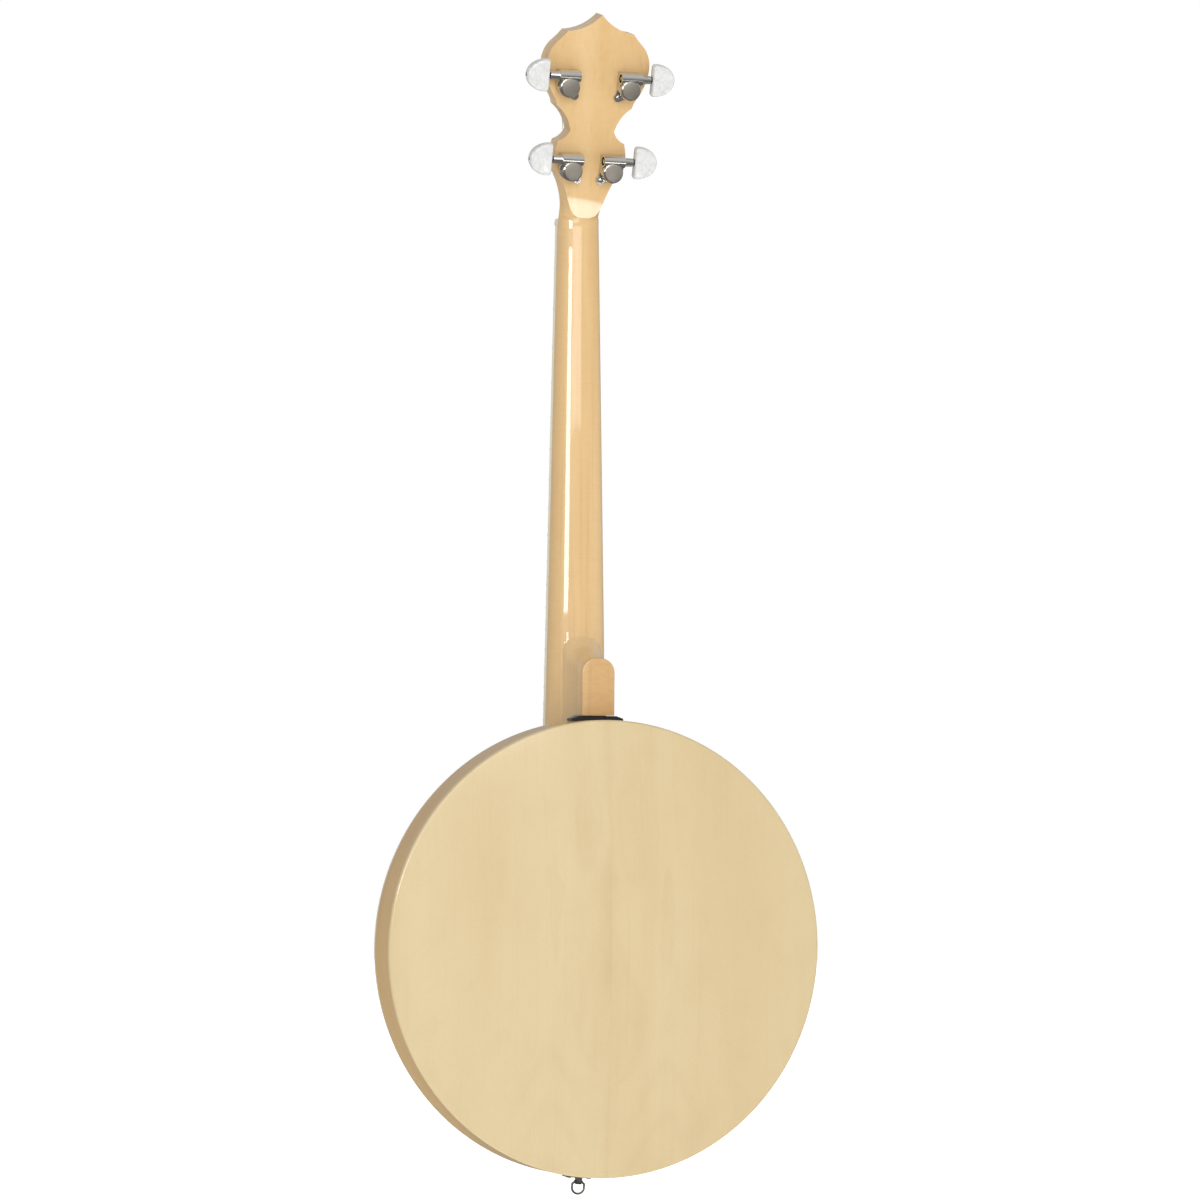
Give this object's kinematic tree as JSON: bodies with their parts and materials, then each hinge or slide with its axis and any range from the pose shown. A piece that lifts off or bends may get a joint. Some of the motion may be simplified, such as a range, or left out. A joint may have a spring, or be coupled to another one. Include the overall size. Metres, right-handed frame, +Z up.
{
  "type": "banjo",
  "caption": "Resonator banjo with a long neck, worm-geared tuners, tensioned round head and an arched wooden back.",
  "frame": {"origin": "centre line where the nut meets the end of the fretboard, on the glue plane between neck and fretboard", "axes": "+X right seen from the back, +Y out of the playing side towards the strings, +Z up the neck to the headstock"},
  "size_m": [0.343, 0.0984, 0.8927],
  "materials": {
    "maple": "clear gloss lacquer",
    "maple_pale": "clear gloss lacquer over bookmatched veneer",
    "maple_side": "clear gloss lacquer",
    "rosewood": "oiled",
    "ebony": "polished",
    "bone": "polished",
    "nickel": "polished plate",
    "bronze": "turned",
    "steel": "ground",
    "pearloid": "pearl",
    "coated_head": "frosted coating",
    "black_felt": "dense"
  },
  "bodies": {
    "banjo": {"neck": "maple", "heel_cap": "maple", "heel_pad": "black_felt", "truss_rod": "steel", "fretboard": "rosewood", "nut": "bone", "truss_rod_cover": "ebony", "rim": "maple", "tone_ring": "bronze", "head": "coated_head", "tension_hoop": "nickel", "flange": "nickel", "resonator_side": "maple_side", "resonator_back": "maple_pale", "coordinator_rod": "steel", "bridge": "maple_pale", "tailpiece": "nickel", "tailpiece_hanger": "nickel", "armrest": "nickel", "strap_plate": "nickel", "string_1": "steel", "string_2": "steel", "string_3": "steel", "string_4": "steel", "tuner_housing_1": "nickel", "tuner_housing_2": "nickel", "tuner_housing_3": "nickel", "tuner_housing_4": "nickel", "bracket_hook_01": "nickel", "bracket_hook_02": "nickel", "bracket_hook_03": "nickel", "bracket_hook_04": "nickel", "bracket_hook_05": "nickel", "bracket_hook_06": "nickel", "bracket_hook_07": "nickel", "bracket_hook_08": "nickel", "bracket_hook_09": "nickel", "bracket_hook_10": "nickel", "bracket_hook_11": "nickel", "bracket_hook_12": "nickel", "bracket_hook_13": "nickel", "bracket_hook_14": "nickel", "bracket_hook_15": "nickel", "bracket_hook_16": "nickel", "bracket_hook_17": "nickel", "bracket_hook_18": "nickel"},
    "strap_ring": {"strap_ring": "steel"},
    "button_1": {"tuner_button_1": "pearloid", "tuner_worm_1": "steel"},
    "post_1": {"tuner_post_1": "steel"},
    "button_2": {"tuner_button_2": "pearloid", "tuner_worm_2": "steel"},
    "post_2": {"tuner_post_2": "steel"},
    "button_3": {"tuner_button_3": "pearloid", "tuner_worm_3": "steel"},
    "post_3": {"tuner_post_3": "steel"},
    "button_4": {"tuner_button_4": "pearloid", "tuner_worm_4": "steel"},
    "post_4": {"tuner_post_4": "steel"}
  },
  "joints": [
    {"name": "button_1_turn", "type": "hinge", "parent": "banjo", "child": "button_1", "pos_m": [-0.0164, -0.03376, 0.04652], "axis": [-1, 0, 0], "continuous": true},
    {"name": "post_1_turn", "type": "hinge", "parent": "banjo", "child": "post_1", "pos_m": [-0.0164, -0.02496, 0.04016], "axis": [0, 0.9703, 0.2419], "continuous": true},
    {"name": "button_2_turn", "type": "hinge", "parent": "banjo", "child": "button_2", "pos_m": [-0.0245, -0.04912, 0.10813], "axis": [-1, 0, 0], "continuous": true},
    {"name": "post_2_turn", "type": "hinge", "parent": "banjo", "child": "post_2", "pos_m": [-0.0245, -0.04032, 0.10177], "axis": [0, 0.9703, 0.2419], "continuous": true},
    {"name": "button_3_turn", "type": "hinge", "parent": "banjo", "child": "button_3", "pos_m": [0.0245, -0.04912, 0.10813], "axis": [1, 0, 0], "continuous": true},
    {"name": "post_3_turn", "type": "hinge", "parent": "banjo", "child": "post_3", "pos_m": [0.0245, -0.04032, 0.10177], "axis": [0, 0.9703, 0.2419], "continuous": true},
    {"name": "button_4_turn", "type": "hinge", "parent": "banjo", "child": "button_4", "pos_m": [0.0164, -0.03376, 0.04652], "axis": [1, 0, 0], "continuous": true},
    {"name": "post_4_turn", "type": "hinge", "parent": "banjo", "child": "post_4", "pos_m": [0.0164, -0.02496, 0.04016], "axis": [0, 0.9703, 0.2419], "continuous": true},
    {"name": "strap_ring_swing", "type": "hinge", "parent": "banjo", "child": "strap_ring", "pos_m": [-0.01225, -0.05, -0.72417], "axis": [-0.9976, 0, 0.0698], "range_deg": [-75, 75]}
  ],
  "couplings": [
    {"joint": "post_1_turn", "follows": "button_1_turn", "ratio": -0.071429},
    {"joint": "post_2_turn", "follows": "button_2_turn", "ratio": -0.071429},
    {"joint": "post_3_turn", "follows": "button_3_turn", "ratio": -0.071429},
    {"joint": "post_4_turn", "follows": "button_4_turn", "ratio": -0.071429}
  ]
}
